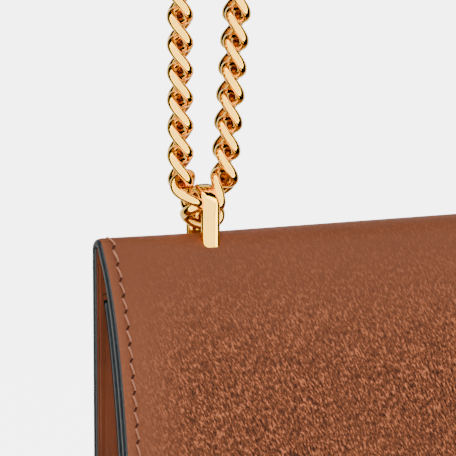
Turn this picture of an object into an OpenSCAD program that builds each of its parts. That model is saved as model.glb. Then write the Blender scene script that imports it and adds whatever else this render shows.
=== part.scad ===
// Chain wallet: a flap wallet with a bellows body, hung from a doubled sliding curb chain.
// Frame: X along the wallet's width, -Y towards its flap face, +Z up.
// The origin is the underside of the strap's inner run at its highest point.

/* [Body] */
// Width of the wallet
wallet_w = 193; // [180:1:210]
// Height from the base to the top of the ridge
wallet_h = 124; // [118:1:130]
// Outer radius of the rounded ridge
ridge_r = 5.4; // [5.2:0.1:5.6]
// Lean of the front just under the ridge, in degrees
lean_top = 12.5; // [11.5:0.5:13]
// Lean of the front at the base, in degrees
lean_base = 4; // [3.5:0.5:5]

/* [Leather] */
// Thickness of the outer leather
leather_t = 1.4; // [1.3:0.05:1.5]
// Thickness of the lining
lining_t = 0.8; // [0.7:0.05:0.9]
// Free gap between the closed flap and the front wall
flap_gap = 0.5; // [0.4:0.1:0.6]
// Length of the flap below its fold
flap_l = 98; // [90:1:100]
// Radius of the flap's lower corners
flap_corner_r = 14; // [8:1:20]

/* [Chain] */
// Wire diameter of a link
wire_d = 1.8; // [1.7:0.05:1.85]
// Distance from one link to the next
pitch = 5.85; // [5.8:0.01:5.9]
// Inner width of a link
link_inner_w = 2.25; // [2.2:0.05:2.3]
// Links from the first to the last of the outer run, less one (even)
outer_steps = 106; // [104:2:108]
// Links from the first to the last of the inner run, less one (even)
inner_steps = 98; // [96:2:98]
// Inward lean of the inner run, in degrees
inner_lean = 4.9; // [4.5:0.1:5.2]

/* [Staples] */
// Distance of each staple from the wallet's middle
staple_x = 72.5; // [68:0.5:76]
// Width of a staple's bar along X
staple_w = 3.7; // [3.5:0.1:3.8]
// Thickness of a staple's bar
staple_t = 2.2; // [2:0.1:2.3]
// Distance between the middles of a staple's legs
leg_span = 6.7; // [6.6:0.1:6.9]
// Height of a staple's top over the ridge
staple_top = 10.4; // [10.2:0.1:10.8]

/* [Inside] */
// Number of stepped card strips
card_strips = 3; // [2:1:3]
// Length of the zip's row of teeth
zip_l = 148; // [130:2:150]

/* [Hidden] */

$fn = 48;
tan_leather = [0.58, 0.33, 0.21];
red_brown = [0.44, 0.21, 0.11];
gold = [0.90, 0.74, 0.44];
steel = [0.62, 0.62, 0.60];

// Chain: a link's centreline is two half circles of bend_r joined by straights of link_run
bend_r = (link_inner_w + wire_d) / 2;
link_play = 0.12;
link_len = pitch + wire_d + link_play;
link_run = link_len - 2 * bend_r;

// Staple and the links in its eye, in the wallet's frame, where z is 0 on top of the ridge
bar_under = staple_top - staple_t;
eye_link_z = bar_under - bend_r - wire_d / 2;
side_link_dx = 1.95;
strand_dx = 5.4;
side_link_dz = sqrt(pow(link_len, 2) - pow(strand_dx - side_link_dx, 2));
first_link_z = eye_link_z + side_link_dz - wire_d - link_play + link_len / 2;

// Outer run: upright strands and a half circle over the top
outer_x = staple_x + strand_dx;
outer_straight = (outer_steps * pitch - PI * outer_x) / 2;

// Inner run: strands that lean inwards and an arc that they meet smoothly
inner_x = staple_x - strand_dx;
arc_turn = (180 - 2 * inner_lean) * PI / 180;
inner_straight = (inner_steps * pitch - inner_x * arc_turn / cos(inner_lean))
    / (2 - tan(inner_lean) * arc_turn);
inner_r = (inner_x - inner_straight * sin(inner_lean)) / cos(inner_lean);
inner_centre_z = first_link_z + inner_straight * cos(inner_lean) - inner_r * sin(inner_lean);

// The wallet hangs so that the inner run's underside is at z = 0
wallet_z = -(inner_centre_z + inner_r - bend_r - wire_d / 2);

// Front outline: an arc from the ridge down, whose lean falls from lean_top to lean_base
front_l = wallet_h - ridge_r + 1.5;
front_r = front_l / ((lean_top - lean_base) * PI / 180);
function front_angle(s) = lean_top - s / front_r * 180 / PI;
// Point on the front outline: s along it from the ridge, depth inwards from its outside
function front_point(s, depth) = let (a = front_angle(s)) [
    -ridge_r * cos(lean_top) - front_r * (cos(a) - cos(lean_top)) + depth * cos(a),
    -ridge_r + ridge_r * sin(lean_top) - front_r * (sin(lean_top) - sin(a)) - depth * sin(a)];
front_parts = 8;

wall_t = leather_t + lining_t;
back_in = ridge_r - wall_t;
fit = 0.05;
fold_start = 0.1;
flap_s = 5;
fold_end = flap_s - wall_t / 2 - 0.25;
front_depth = wall_t + flap_gap;
front_top_s = 9.4;
front_bottom_s = front_l - 0.6;
front_w = wallet_w - 2;
base_t = 2.2;
base_z = -wallet_h;
base_gap = 0.5;
base_front = front_point(front_bottom_s, front_depth + wall_t)[0] + base_gap;

// Lining's arch under the ridge
arch_r = 3.4;
arch_z = -9.4;

// Divider: a flat zipped pocket that stands on the base and leans back a little
divider_foot = [-9, base_z + base_t + 0.4];
divider_lean = 5;
divider_t = 2.4;
pocket_wall_t = 0.9;
pocket_h = 85;
pocket_w = wallet_w - 22;
teeth_z = 91.5;
slider_x = -62;
pin_z = teeth_z + 4.4;

// Gusset: a bellows of two folds inwards and a middle ridge, [place across its depth, how far in]
gusset_t = 0.9;
gusset_out = wallet_w / 2 - 1.6;
gusset_folds = [[0, 0], [0.25, 7.9], [0.5, 1], [0.75, 7.9], [1, 0]];
gusset_lap = 0.15;
gusset_top_s = 4.5;
gusset_top_back = -10;
gusset_top_slant = 39;

// ---------- helpers ----------

// Draws in the wallet's frame, with z = 0 on top of the ridge
module in_wallet() {
    translate([0, 0, wallet_z]) children();
}

// Extrudes a (y, z) outline along X, centred
module along_x(width) {
    rotate([90, 0, 90]) linear_extrude(width, center = true) children();
}

// A curved wall that follows the front outline
module front_slab(s0, s1, d0, d1, width) {
    outer = [for (i = [0:front_parts]) front_point(s0 + (s1 - s0) * i / front_parts, d0)];
    inner = [for (i = [front_parts:-1:0]) front_point(s0 + (s1 - s0) * i / front_parts, d1)];
    along_x(width) polygon(concat(outer, inner));
}

// One oval link, long axis along Z, lying in the XZ plane
module link() {
    for (side = [-1, 1]) {
        translate([0, 0, side * link_run / 2]) rotate([90, 0, 0])
            rotate([0, 0, side < 0 ? 180 : 0]) rotate_extrude(angle = 180)
                translate([bend_r, 0]) circle(d = wire_d);
        translate([side * bend_r, 0, 0]) cylinder(d = wire_d, h = link_run, center = true);
    }
}

// A link at p in the XZ plane, its long axis leaning by turn from +Z towards +X
module placed_link(p, turn, across) {
    translate([p[0], 0, p[1]]) rotate([0, turn, 0]) rotate([0, 0, across ? 90 : 0]) link();
}

// Place and turn of a link on a run: t along the run from its first link on the left
function run_place(t, x0, straight, lean, r, centre_z) =
    let (arc = r * (180 - 2 * lean) * PI / 180)
    t < straight
        ? [-x0 + t * sin(lean), first_link_z + t * cos(lean), lean]
        : t > straight + arc
            ? let (u = 2 * straight + arc - t) [x0 - u * sin(lean), first_link_z + u * cos(lean), -lean]
            : let (turn = lean + (t - straight) / r * 180 / PI)
                [-r * cos(turn), centre_z + r * sin(turn), turn];

// Every second link of a run, from the given first one
module run_links(first, steps, x0, straight, lean, r, centre_z) {
    for (i = [first:2:steps]) {
        place = run_place(i * pitch, x0, straight, lean, r, centre_z);
        placed_link(place, place[2], first == 1);
    }
}

module outer_links(first) {
    run_links(first, outer_steps, outer_x, outer_straight, 0, outer_x, first_link_z + outer_straight);
}

module inner_links(first) {
    run_links(first, inner_steps, inner_x, inner_straight, inner_lean, inner_r, inner_centre_z);
}

// ---------- strap ----------

module outer_chain_flat_links() { color(gold) in_wallet() outer_links(0); }
module outer_chain_cross_links() { color(gold) in_wallet() outer_links(1); }
module inner_chain_flat_links() { color(gold) in_wallet() inner_links(0); }
module inner_chain_cross_links() { color(gold) in_wallet() inner_links(1); }

// The link inside each staple's eye, lying along X
module eye_links() {
    color(gold) in_wallet() for (side = [-1, 1])
        placed_link([side * staple_x, eye_link_z], 90, false);
}

// The links that lead from each eye up to the two runs
module eye_side_links() {
    turn = asin((strand_dx - side_link_dx) / link_len);
    mid_dx = (strand_dx + side_link_dx) / 2;
    color(gold) in_wallet() for (side = [-1, 1]) for (out = [-1, 1])
        placed_link([side * staple_x + out * mid_dx, eye_link_z + side_link_dz / 2], out * turn, true);
}

// ---------- staples ----------

staple_chamfer = 0.75;
corner_r = 2.4;
leg_foot = -4.4;

// Chamfered bar section, its thickness along the first axis
module bar_section() {
    t = staple_t / 2;
    w = staple_w / 2;
    c = staple_chamfer;
    polygon([[t, w - c], [t - c, w], [c - t, w], [-t, w - c],
             [-t, c - w], [c - t, -w], [t - c, -w], [t, c - w]]);
}

module staple() {
    bar_z = staple_top - staple_t / 2;
    half = leg_span / 2;
    leg_top = bar_z - corner_r;
    difference() {
        union() {
            for (side = [-1, 1]) {
                translate([0, side * half, leg_foot]) rotate([0, 0, 90])
                    linear_extrude(leg_top - leg_foot) bar_section();
                translate([0, side * (half - corner_r), leg_top])
                    rotate([90, 0, 90]) rotate([0, 0, side > 0 ? 0 : 90])
                        rotate_extrude(angle = 90) translate([corner_r, 0]) bar_section();
            }
            translate([0, 0, bar_z]) rotate([-90, 0, 0]) rotate([0, 0, 90])
                linear_extrude(2 * (half - corner_r), center = true) bar_section();
        }
        for (side = [-1, 1]) translate([0, side * half, leg_foot - 1])
            cylinder(d = 1.2, h = 3.6);
    }
}

module left_staple() { color(gold) in_wallet() translate([-staple_x, 0, 0]) staple(); }
module right_staple() { color(gold) in_wallet() translate([staple_x, 0, 0]) staple(); }

// Steel plate inside the ridge that both legs are screwed to
plate_t = 0.8;
plate_l = 12;
plate_w = 7.6;
module backing_plate() {
    difference() {
        translate([-plate_l / 2, -plate_w / 2, leg_foot - plate_t]) cube([plate_l, plate_w, plate_t]);
        for (side = [-1, 1]) translate([0, side * leg_span / 2, leg_foot - 1])
            cylinder(d = 1.3, h = 2);
    }
}

module left_backing_plate() { color(steel) in_wallet() translate([-staple_x, 0, 0]) backing_plate(); }
module right_backing_plate() { color(steel) in_wallet() translate([staple_x, 0, 0]) backing_plate(); }

screw_head_t = 0.6;
screw_head_d = 2;
module staple_screws() {
    color(steel) in_wallet() for (x = [-staple_x, staple_x]) for (side = [-1, 1])
        translate([x, side * (leg_span / 2), leg_foot - plate_t]) {
            cylinder(d = 1.1, h = plate_t + 2.4);
            translate([0, -side * 0.35, -screw_head_t]) cylinder(d = screw_head_d, h = screw_head_t);
        }
}

// Leatherboard core that keeps the ridge round between the staples
core_low = -6.8;
module ridge_core() {
    color([0.30, 0.22, 0.16]) in_wallet() along_x(2 * (staple_x - 8)) difference() {
        translate([0, -ridge_r]) circle(r = ridge_r - leather_t - fit);
        translate([0, arch_z]) circle(r = arch_r + fit);
        translate([-ridge_r, core_low - 2 * ridge_r]) square(2 * ridge_r);
    }
}

// ---------- case ----------

// Outline of the back wall and ridge leather, cut off where the front starts
module ridge_outline() {
    inner_r = ridge_r - leather_t;
    reach = 2 * ridge_r;
    difference() {
        union() {
            translate([0, -ridge_r]) circle(r = ridge_r);
            translate([0, base_z]) square([ridge_r, -ridge_r - base_z]);
        }
        translate([0, -ridge_r]) circle(r = inner_r);
        translate([-ridge_r, base_z - 1]) square([ridge_r + inner_r, 1 - ridge_r - base_z]);
        translate([0, -ridge_r]) polygon([
            [0, 0], [-reach * cos(lean_top), reach * sin(lean_top)], [-reach, -reach], [0, -reach]]);
    }
}

module leg_holes() {
    for (x = [-staple_x, staple_x]) for (side = [-1, 1])
        translate([x, side * leg_span / 2, -3]) cube([staple_w + 0.04, staple_t + 0.04, 8], center = true);
}

module back_leather() {
    color(tan_leather) in_wallet() difference() {
        along_x(wallet_w) ridge_outline();
        leg_holes();
    }
}

module back_lining() {
    color(red_brown) in_wallet() along_x(wallet_w - 0.4) difference() {
        union() {
            translate([0, arch_z]) circle(r = arch_r);
            translate([0, base_z]) square([arch_r, arch_z - base_z]);
            translate([back_in, base_z]) square([lining_t, -ridge_r - base_z - 1.5]);
        }
        translate([0, arch_z]) circle(r = arch_r - lining_t);
        translate([-arch_r, base_z - 1]) square([back_in + arch_r, arch_z - base_z + 1]);
    }
}

module base_leather() {
    color(tan_leather) in_wallet() translate([-(wallet_w - 4) / 2, base_front, base_z])
        cube([wallet_w - 4, back_in - base_front, leather_t]);
}

module base_lining() {
    color(red_brown) in_wallet() translate([-(wallet_w - 6) / 2, base_front + 0.4, base_z + leather_t])
        cube([wallet_w - 6, back_in - base_front - 0.4, lining_t]);
}

// Bellows end wall: level sections from the base up, each the one below made smaller, with a slanting top
gusset_levels = 4;
module gusset(side) {
    yb = back_in - 0.02;
    s_top = gusset_top_s;
    s_foot = front_bottom_s - 1.5;
    depth = front_depth + wall_t;
    function front(k) = front_point(s_foot + (s_top - s_foot) * k / gusset_levels, depth) + [gusset_lap, 0];
    function level(k) = let (p = front(k), size = (yb - p[0]) / (yb - front(0)[0]),
        outer = [for (f = gusset_folds) [gusset_out - f[1] * size, yb + f[0] * (p[0] - yb), p[1]]])
        concat([for (q = outer) [side * q[0], q[1], q[2]]],
               [for (i = [4:-1:0]) [side * (outer[i][0] - gusset_t), outer[i][1], outer[i][2]]]);
    n = 10;
    top = gusset_levels * n;
    walls = [for (k = [0:gusset_levels - 1]) for (i = [0:n - 1]) let (j = (i + 1) % n)
        [k * n + i, k * n + j, k * n + n + j, k * n + n + i]];
    cap = [for (i = [0:3]) [i, i + 1, 8 - i, 9 - i]];
    faces = concat(walls, [for (f = cap) [f[3], f[2], f[1], f[0]]], [for (f = cap) [for (i = f) i + top]]);
    difference() {
        polyhedron([for (k = [0:gusset_levels]) each level(k)],
                   side > 0 ? [for (f = faces) [f[3], f[2], f[1], f[0]]] : faces);
        translate([0, yb, gusset_top_back]) rotate([gusset_top_slant, 0, 0])
            translate([-wallet_w, -wallet_h / 2, 0]) cube([2 * wallet_w, wallet_h, wallet_h / 2]);
    }
}

module left_gusset() { color(red_brown) in_wallet() gusset(-1); }
module right_gusset() { color(red_brown) in_wallet() gusset(1); }

// Soft fold of the leather between the ridge and the flap
module flap_fold() {
    color(tan_leather) in_wallet() front_slab(fold_start, fold_end, 0, leather_t - fit, wallet_w - 0.4);
}

// ---------- card side ----------

card_w = 2 * 89;
strip_t = 0.6;
strip_step = 13;
first_strip_z = -30;
strip_foot = base_z + base_t + 2;

module card_strip(i) {
    top = first_strip_z - (i - 1) * strip_step;
    color(red_brown) in_wallet()
        translate([-card_w / 2, back_in - i * (strip_t + 0.05), strip_foot])
            cube([card_w, strip_t, top - strip_foot]);
}

module card_front_pocket() {
    color(red_brown) in_wallet()
        translate([-card_w / 2, back_in - (card_strips + 1) * (strip_t + 0.05), strip_foot])
            cube([card_w, strip_t, first_strip_z - card_strips * strip_step - strip_foot]);
}

// ---------- flap ----------

// Keeps what lies inside the flap's outline, seen from the front
module flap_outline(width) {
    low = base_z + 17;
    r = flap_corner_r;
    intersection() {
        children();
        rotate([90, 0, 0]) linear_extrude(60, center = true) union() {
            translate([-width / 2, low + r]) square([width, -low - r]);
            translate([-width / 2 + r, low]) square([width - 2 * r, r + 1]);
            for (side = [-1, 1]) translate([side * (width / 2 - r), low + r]) circle(r = r);
        }
    }
}

magnet_d = 12;
magnet_t = 1;
magnet_s = 90;

// Draws at the closure, with z pointing outwards from the front outline's outside
module at_closure() {
    p = front_point(magnet_s, 0);
    translate([0, p[0], p[1]]) rotate([90 - front_angle(magnet_s), 0, 0]) children();
}

module flap_leather() {
    color(tan_leather) in_wallet() difference() {
        flap_outline(wallet_w) front_slab(flap_s, flap_l + flap_s + 6, 0, leather_t, wallet_w);
        at_closure() translate([0, 0, -wall_t + 0.3]) cylinder(d = magnet_d, h = magnet_t);
    }
}

module flap_lining() {
    color(red_brown) in_wallet() difference() {
        flap_outline(wallet_w - 0.4) front_slab(flap_s, flap_l + flap_s + 6, leather_t, wall_t, wallet_w - 0.4);
        at_closure() translate([0, 0, -wall_t + 0.3]) cylinder(d = magnet_d, h = magnet_t);
    }
}

module flap_magnet() {
    color(steel) in_wallet() at_closure() translate([0, 0, -wall_t + 0.32])
        cylinder(d = magnet_d - 0.04, h = magnet_t - 0.04);
}

// ---------- front wall ----------

module front_leather() {
    color(tan_leather) in_wallet() difference() {
        front_slab(front_top_s, front_bottom_s, front_depth, front_depth + leather_t, front_w);
        at_closure() translate([0, 0, -front_depth - 0.3 - magnet_t]) cylinder(d = magnet_d, h = magnet_t);
    }
}

module front_lining() {
    color(red_brown) in_wallet() difference() {
        front_slab(front_top_s, front_bottom_s, front_depth + leather_t, front_depth + wall_t, front_w - 0.4);
        at_closure() translate([0, 0, -front_depth - 0.3 - magnet_t]) cylinder(d = magnet_d, h = magnet_t);
    }
}

module front_magnet() {
    color(steel) in_wallet() at_closure() translate([0, 0, -front_depth - 0.28 - magnet_t])
        cylinder(d = magnet_d - 0.04, h = magnet_t - 0.04);
}

module front_slip_pocket() {
    d = front_depth + wall_t + 0.05;
    color(red_brown) in_wallet() front_slab(52, front_bottom_s - 3, d, d + strip_t, 150);
}

// ---------- zipped divider ----------

// Draws in the divider's frame: z up along it from its foot, y through it
module in_divider() {
    in_wallet() translate([0, divider_foot[0], divider_foot[1]]) rotate([-divider_lean, 0, 0]) children();
}

module pocket_wall(side) {
    y = divider_t / 2 - pocket_wall_t / 2;
    translate([0, side * y, pocket_h / 2]) cube([pocket_w, pocket_wall_t, pocket_h], center = true);
}

module pocket_rear_wall() { color(red_brown) in_divider() pocket_wall(1); }
module pocket_front_wall() { color(red_brown) in_divider() pocket_wall(-1); }

tape_t = 0.25;
tape_over = 6;
tape_in = 8;
module zip_tapes() {
    color([0.40, 0.20, 0.12]) in_divider() for (side = [-1, 1])
        translate([-zip_l / 2 - tape_over, side * 0.16 - tape_t / 2, pocket_h - tape_in])
            cube([zip_l + 2 * tape_over, tape_t, teeth_z - 1.2 - pocket_h + tape_in]);
}

tooth_step = 2;
module zip_teeth() {
    color(gold) in_divider() for (i = [0:zip_l / tooth_step - 1]) {
        side = i % 2 == 0 ? -1 : 1;
        translate([-zip_l / 2 + (i + 0.5) * tooth_step, side * 0.35, teeth_z])
            cube([1.3, 1.5, 2.2], center = true);
    }
}

module zip_stops() {
    color(gold) in_divider() for (side = [-1, 1])
        translate([side * (zip_l / 2 + 1.4), 0, teeth_z]) cube([2, 2.4, 2.3], center = true);
}

slider_l = 8;
slider_w = 4.6;
module zip_slider() {
    color(gold) in_divider() translate([slider_x, 0, 0]) difference() {
        union() {
            translate([0, 0, teeth_z + 0.3]) cube([slider_l, slider_w, 4.2], center = true);
            for (x = [-2.6, 2.6]) translate([x, 0, pin_z - 0.7]) cube([1.4, 1.4, 3.4], center = true);
            translate([0, 0, pin_z + 0.7]) cube([6.6, 1.4, 0.9], center = true);
        }
        translate([0, 0, teeth_z - 0.2]) cube([slider_l + 2, 2.9, 3], center = true);
        translate([0, 0, teeth_z - 2]) cube([slider_l + 2, 1.2, 2], center = true);
        translate([0, 0, pin_z - 0.55]) cube([3.8, 3, 1.6], center = true);
    }
}

puller_l = 14;
module zip_puller() {
    color(gold) in_divider() translate([slider_x, 0, pin_z - 0.55]) difference() {
        union() {
            rotate([90, 0, 0]) cylinder(d = 1.1, h = 3.6, center = true);
            for (side = [-1, 1]) translate([0, side * 1.5 - 0.4, -0.55]) cube([4.6, 0.8, 1.1]);
            translate([4.2, -1.9, -0.5]) cube([puller_l - 6, 3.8, 1]);
            translate([puller_l - 1.8, 0, -0.5]) cylinder(d = 3.8, h = 1);
        }
        translate([puller_l - 2, 0, -1]) cylinder(d = 1.6, h = 2);
    }
}

outer_chain_flat_links();
outer_chain_cross_links();
inner_chain_flat_links();
inner_chain_cross_links();
eye_links();
eye_side_links();
left_staple();
right_staple();
left_backing_plate();
right_backing_plate();
staple_screws();
ridge_core();
back_leather();
back_lining();
base_leather();
base_lining();
left_gusset();
right_gusset();
flap_fold();
for (i = [1:card_strips]) card_strip(i);
card_front_pocket();
flap_leather();
flap_lining();
flap_magnet();
front_leather();
front_lining();
front_magnet();
front_slip_pocket();
pocket_rear_wall();
pocket_front_wall();
zip_tapes();
zip_teeth();
zip_stops();
zip_slider();
zip_puller();
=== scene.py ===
import math

import bmesh
import bpy
import numpy as np
from bpy.props import FloatProperty, FloatVectorProperty, PointerProperty
from bpy.types import Operator, Panel, PropertyGroup
from mathutils import Matrix, Vector


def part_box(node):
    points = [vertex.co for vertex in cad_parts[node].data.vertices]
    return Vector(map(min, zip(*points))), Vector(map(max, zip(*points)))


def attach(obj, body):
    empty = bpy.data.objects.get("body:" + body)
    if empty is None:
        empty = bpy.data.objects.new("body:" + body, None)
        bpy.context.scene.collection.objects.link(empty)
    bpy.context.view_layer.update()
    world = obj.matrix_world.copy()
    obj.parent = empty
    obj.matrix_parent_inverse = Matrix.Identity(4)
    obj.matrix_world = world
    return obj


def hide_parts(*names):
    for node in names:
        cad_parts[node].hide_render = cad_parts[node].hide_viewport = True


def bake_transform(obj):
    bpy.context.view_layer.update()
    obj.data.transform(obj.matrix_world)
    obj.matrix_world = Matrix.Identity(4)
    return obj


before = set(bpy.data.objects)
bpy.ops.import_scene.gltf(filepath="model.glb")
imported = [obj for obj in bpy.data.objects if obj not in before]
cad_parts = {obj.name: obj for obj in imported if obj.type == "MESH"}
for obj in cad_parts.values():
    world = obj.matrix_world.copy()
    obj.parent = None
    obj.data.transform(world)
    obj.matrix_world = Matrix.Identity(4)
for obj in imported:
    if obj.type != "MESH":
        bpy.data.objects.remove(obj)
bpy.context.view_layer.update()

bl_info = {
    "name": "Chain wallet",
    "version": (1, 0, 0),
    "blender": (4, 5, 0),
    "location": "View3D > Sidebar > Wallet",
    "description": "Builds the leather, stitching, chain and fittings of a hanging chain wallet",
    "category": "Add Mesh",
}

MM = 0.001


def box_mm(node):
    """Low and high corner of a node, in millimetres"""
    return [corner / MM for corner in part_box(node)]


# ---------- sizes read from the frame, in millimetres ----------

BACK_LOW, BACK_HIGH = box_mm("back_leather")
RIDGE_TOP = BACK_HIGH.z
HALF_W = BACK_HIGH.x
HEIGHT = RIDGE_TOP - BACK_LOW.z
RIDGE_R = BACK_HIGH.y
FRONT_LOW, FRONT_HIGH = box_mm("front_leather")
FRONT_HALF_W = FRONT_HIGH.x + 0.3
STAPLE_LOW, STAPLE_HIGH = box_mm("right_staple")
STAPLE_X = (STAPLE_LOW.x + STAPLE_HIGH.x) / 2

# Walls: depths under the wallet's outside
WALL_T = 2.2
FRONT_DEPTH = 2.7
LINING_SHOW = 0.22

# The front's lean, in degrees, s millimetres below the ridge
MID_LEAN_TOP, MID_LEAN_BASE = 12.5, 4.0
FRONT_L = HEIGHT - RIDGE_R + 1.5
END_LEAN_BASE, END_LEAN_MORE, END_LEAN_FADE = 5.5, 27.0, 17.0
# The ends are squeezed flatter than the middle over this stretch
PINCH = 21.0
END_RIDGE_R = 2.7
END_BACK_IN = 0.8
END_SWELL = 1.22

# Where the ridge's hide and the flap's meet, and the stretch that folds
JOIN_S = 1.5
FOLD_START_S, FOLD_END_S = 4.4, 14.0
# Where the front wall's top edge lies under the flap
FRONT_TOP_S = 12.0

# Seam and its stitches
SEAM_IN = 2.4
STITCH_PITCH = 3.4


def mid_lean(s):
    return MID_LEAN_TOP - (MID_LEAN_TOP - MID_LEAN_BASE) * s / FRONT_L


def end_lean(s):
    return END_LEAN_BASE + END_LEAN_MORE * np.exp(-s / END_LEAN_FADE)


class Outline:
    """Side outline at one place across the width: up the back, over the ridge, down the front"""

    def __init__(self, ridge_r, back_y, lean, swell):
        self.r, self.y, self.swell = ridge_r, back_y - ridge_r, swell
        self.s = np.linspace(0, FRONT_L + 4, 500)
        self.a = np.radians(lean(self.s))
        step = self.s[1]
        mid = (self.a[1:] + self.a[:-1]) / 2
        self.y0 = self.y - ridge_r * math.cos(self.a[0])
        self.z0 = -ridge_r + ridge_r * math.sin(self.a[0])
        self.fy = self.y0 - np.concatenate([[0], np.cumsum(np.sin(mid) * step)])
        self.fz = self.z0 - np.concatenate([[0], np.cumsum(np.cos(mid) * step)])

    def front(self, s, depth):
        depth *= self.swell
        a = np.interp(s, self.s, self.a)
        return (np.interp(s, self.s, self.fy) + depth * math.cos(a),
                np.interp(s, self.s, self.fz) - depth * math.sin(a))

    def ridge(self, f, depth):
        """f is 0 where the front starts and 1 where the back does"""
        turn = (math.pi - self.a[0]) * (1 - f)
        r = self.r - depth * min(1.0, 0.92 * self.r / WALL_T)
        return self.y + r * math.cos(turn), -self.r + r * math.sin(turn)

    def back(self, g, depth):
        """g is 0 where the ridge ends and 1 at the base"""
        r = self.r - depth * min(1.0, 0.92 * self.r / WALL_T)
        return self.y + r, -self.r - g * (HEIGHT - self.r)


MID = Outline(RIDGE_R, RIDGE_R, mid_lean, 1.0)
END = Outline(END_RIDGE_R, RIDGE_R - END_BACK_IN, end_lean, END_SWELL)
ARC = RIDGE_R * math.radians(180 - MID_LEAN_TOP)
BACK_L = HEIGHT - RIDGE_R


def smooth(t):
    t = min(max(t, 0.0), 1.0)
    return t * t * (3 - 2 * t)


def pinch_at(x):
    return smooth((abs(x) - (HALF_W - PINCH)) / PINCH)


def skin(x, t, depth):
    """Point of the hide: t is 0 where the front starts, above 0 down the front and below 0 over the ridge"""
    w = pinch_at(x)
    places = []
    for outline in (MID, END):
        if t >= 0:
            places.append(outline.front(t, depth))
        elif t >= -ARC:
            places.append(outline.ridge(-t / ARC, depth))
        else:
            places.append(outline.back((-t - ARC) / BACK_L, depth))
    (y0, z0), (y1, z1) = places
    return Vector((x, y0 + (y1 - y0) * w, RIDGE_TOP + z0 + (z1 - z0) * w))


def front_s_at(z):
    """How far down the middle's front a height is"""
    return float(np.interp(RIDGE_TOP - z, -MID.fz, MID.s))


def front_foot_s():
    """How far down the front wall ends"""
    return front_s_at(FRONT_LOW.z) + 0.2


# ---------- shader maths ----------


class Value:
    """A shader socket that can be used in sums and products"""

    def __init__(self, paint, socket):
        self.paint, self.socket = paint, socket

    def _with(self, operation, other, swap=False):
        a, b = (other, self) if swap else (self, other)
        return self.paint.maths(operation, a, b)

    def __add__(self, other):
        return self._with("ADD", other)

    def __radd__(self, other):
        return self._with("ADD", other)

    def __sub__(self, other):
        return self._with("SUBTRACT", other)

    def __rsub__(self, other):
        return self._with("SUBTRACT", other, True)

    def __mul__(self, other):
        return self._with("MULTIPLY", other)

    def __rmul__(self, other):
        return self._with("MULTIPLY", other)


class Paint:
    """One material's node tree"""

    def __init__(self, name, **shader_values):
        self.material = bpy.data.materials.new(name)
        self.material.use_nodes = True
        self.tree = self.material.node_tree
        self.shader = self.tree.nodes["Principled BSDF"]
        for socket, value in shader_values.items():
            self.shader.inputs[socket.replace("_", " ")].default_value = value

    def node(self, kind, settings=None, out=0, **sockets):
        made = self.tree.nodes.new(kind)
        for key, value in (settings or {}).items():
            setattr(made, key, value)
        for key, value in sockets.items():
            self.feed(made.inputs[key.replace("_", " ")], value)
        return Value(self, made.outputs[out])

    def feed(self, socket, value):
        if isinstance(value, Value):
            self.tree.links.new(value.socket, socket)
        else:
            socket.default_value = value

    def maths(self, operation, a, b):
        made = self.tree.nodes.new("ShaderNodeMath")
        made.operation = operation
        self.feed(made.inputs[0], a)
        self.feed(made.inputs[1], b)
        return Value(self, made.outputs[0])

    def ramp(self, value, low, high, to_low=0.0, to_high=1.0):
        """A smooth step of a value from one level to another"""
        made = self.tree.nodes.new("ShaderNodeMapRange")
        made.interpolation_type = "SMOOTHSTEP"
        for socket, given in zip(made.inputs, (value, low, high, to_low, to_high)):
            self.feed(socket, given)
        return Value(self, made.outputs[0])

    def mix(self, factor, a, b):
        made = self.tree.nodes.new("ShaderNodeMix")
        made.data_type = "RGBA"
        self.feed(made.inputs[0], factor)
        self.feed(made.inputs[6], a)
        self.feed(made.inputs[7], b)
        return Value(self, made.outputs[2])

    def place(self, scale=(1, 1, 1), turn=(0, 0, 0)):
        """Object coordinates in millimetres, first turned and then stretched"""
        coords = self.node("ShaderNodeTexCoord", out=3)
        turned = self.node("ShaderNodeMapping", Vector=coords, Rotation=turn, Scale=[1 / MM] * 3)
        return self.node("ShaderNodeMapping", Vector=turned, Scale=scale)

    def height_below(self, top):
        """How far below a height, given in millimetres, the surface lies"""
        coords = self.node("ShaderNodeTexCoord", out=3)
        return top - self.node("ShaderNodeSeparateXYZ", out=2, Vector=coords) * (1 / MM)

    def noise(self, place, scale, detail=3.0, rough=0.55):
        return self.node("ShaderNodeTexNoise", Vector=place, Scale=scale, Detail=detail, Roughness=rough)

    def noise_vector(self, place, scale):
        return self.node("ShaderNodeTexNoise", out=1, Vector=place, Scale=scale, Detail=2.0)

    def cells(self, place, scale):
        """Distance to the border of the nearest cell"""
        return self.node("ShaderNodeTexVoronoi", {"feature": "DISTANCE_TO_EDGE"}, Vector=place, Scale=scale)

    def shift(self, place, vector, amount):
        """Moves a place by a centred vector, to make a pattern irregular"""
        centred = self.node("ShaderNodeVectorMath", {"operation": "SUBTRACT"}, Vector=vector)
        centred.socket.node.inputs[1].default_value = (0.5, 0.5, 0.5)
        scaled = self.node("ShaderNodeVectorMath", {"operation": "SCALE"}, Vector=centred, Scale=amount)
        total = self.tree.nodes.new("ShaderNodeVectorMath")
        total.operation = "ADD"
        self.feed(total.inputs[0], place)
        self.feed(total.inputs[1], scaled)
        return Value(self, total.outputs[0])

    def rim(self):
        """Distance in millimetres to the piece's nearest cut edge; on the chain links the same attribute
        holds how far the wire's side faces into the link, which the gold turns into painted shade
        """
        return self.node("ShaderNodeAttribute", {"attribute_name": "rim"}, out=2)

    def finish(self, color=None, rough=None, height=None, relief=0.1, strength=1.0):
        if color is not None:
            self.feed(self.shader.inputs["Base Color"], color)
        if rough is not None:
            self.feed(self.shader.inputs["Roughness"], rough)
        if height is not None:
            bump = self.node("ShaderNodeBump", Height=height, Strength=strength, Distance=relief * MM)
            self.feed(self.shader.inputs["Normal"], bump)
        return self.material


_finishes = {}


def finish(maker):
    """Makes a material once and hands the same one out after that"""
    def once():
        if maker.__name__ not in _finishes:
            _finishes[maker.__name__] = maker()
        return _finishes[maker.__name__]
    return once


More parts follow.
